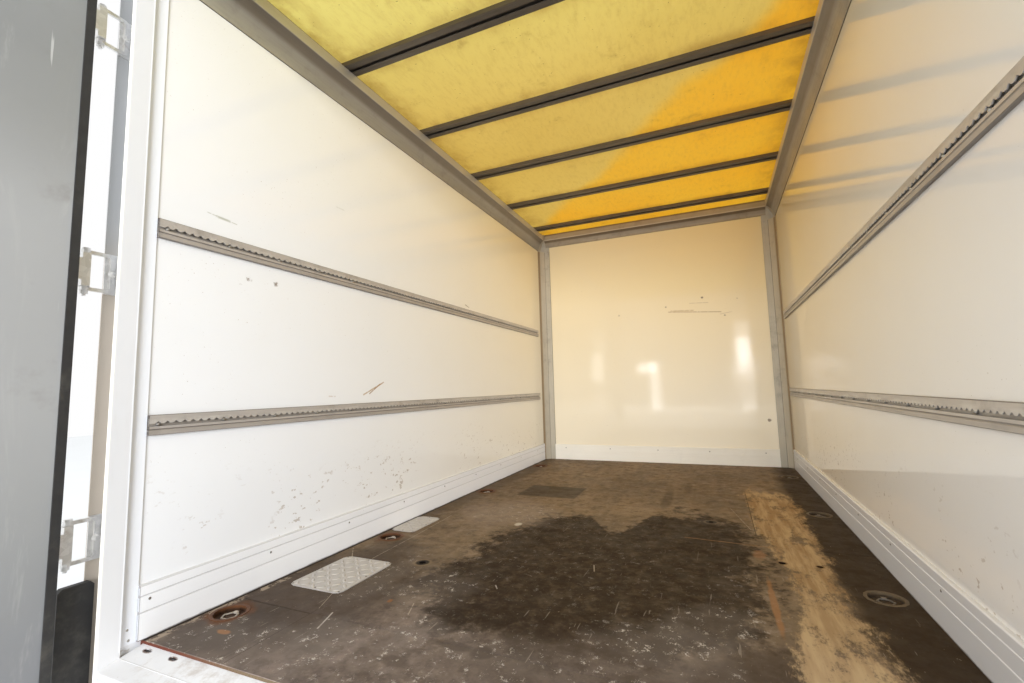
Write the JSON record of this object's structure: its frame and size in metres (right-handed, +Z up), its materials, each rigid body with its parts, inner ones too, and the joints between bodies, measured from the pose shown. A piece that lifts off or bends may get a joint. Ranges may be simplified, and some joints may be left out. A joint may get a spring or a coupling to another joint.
{
  "type": "truck cargo box body",
  "caption": "Closed box body for a small truck with hinged rear doors, lashing rails, recessed floor rings, roof bows and a translucent roof.",
  "frame": {"origin": "underside of the bearers, on the centre line, half way between the front and rear chassis bolt holes", "axes": "+X to the right looking forward, +Y to the front wall, +Z up; the doors are at -Y"},
  "size_m": [2.3458, 4.7558, 2.429],
  "materials": {
    "galvanised": "galvanised, dull",
    "frame_white": "white paint, scuffed",
    "rail_metal": "anodised, worn",
    "wall_panel": "off-white resin face on plywood",
    "floor_ply": "phenolic-faced plywood, worn",
    "pot_steel": "rusty",
    "roof_sheet": "translucent resin sheet",
    "seal_rubber": "matt black",
    "door_board": "grey-white resin face, scuffed",
    "casting": "cast, as made"
  },
  "bodies": {
    "body": {"bearer_left": "galvanised", "bearer_right": "galvanised", "cross_members": "galvanised", "side_rail_left": "rail_metal", "side_rail_right": "rail_metal", "front_rail": "rail_metal", "floor_boards": "floor_ply", "lashing_pots": "pot_steel", "floor_plates": "pot_steel", "wall_left": "wall_panel", "wall_right": "wall_panel", "wall_front": "wall_panel", "top_rail_left": "rail_metal", "top_rail_right": "rail_metal", "top_rail_front": "rail_metal", "corner_casting_left": "casting", "corner_casting_right": "casting", "front_post_left": "rail_metal", "front_post_right": "rail_metal", "roof_bows": "rail_metal", "roof_skin": "roof_sheet", "kick_rail_left": "rail_metal", "kick_rail_right": "rail_metal", "kick_rail_front": "rail_metal", "lashing_rail_lower_left": "rail_metal", "lashing_rail_lower_right": "rail_metal", "lashing_rail_upper_left": "rail_metal", "lashing_rail_upper_right": "rail_metal", "rear_post_left": "frame_white", "rear_post_right": "frame_white", "rear_header": "frame_white", "rear_sill": "frame_white", "corner_guards": "seal_rubber", "hinge_bows_left": "galvanised", "hinge_bows_right": "galvanised", "lock_keepers": "galvanised"},
    "door_left": {"door_left": "door_board", "door_seal_left": "seal_rubber", "hinge_leaves_left": "galvanised", "lock_rod_left": "galvanised", "lock_guides_left": "galvanised"},
    "door_right": {"door_right": "door_board", "door_seal_right": "seal_rubber", "hinge_leaves_right": "galvanised", "lock_rod_right": "galvanised", "lock_guides_right": "galvanised"}
  },
  "joints": [
    {"name": "door_left_hinge", "type": "hinge", "parent": "body", "child": "door_left", "pos_m": [-1.0775, -1.8635, 1.259], "axis": [0, 0, 1], "range_deg": [-170, 95]},
    {"name": "door_right_hinge", "type": "hinge", "parent": "body", "child": "door_right", "pos_m": [1.0775, -1.8635, 1.259], "axis": [0, 0, -1], "range_deg": [-170, 95]}
  ]
}
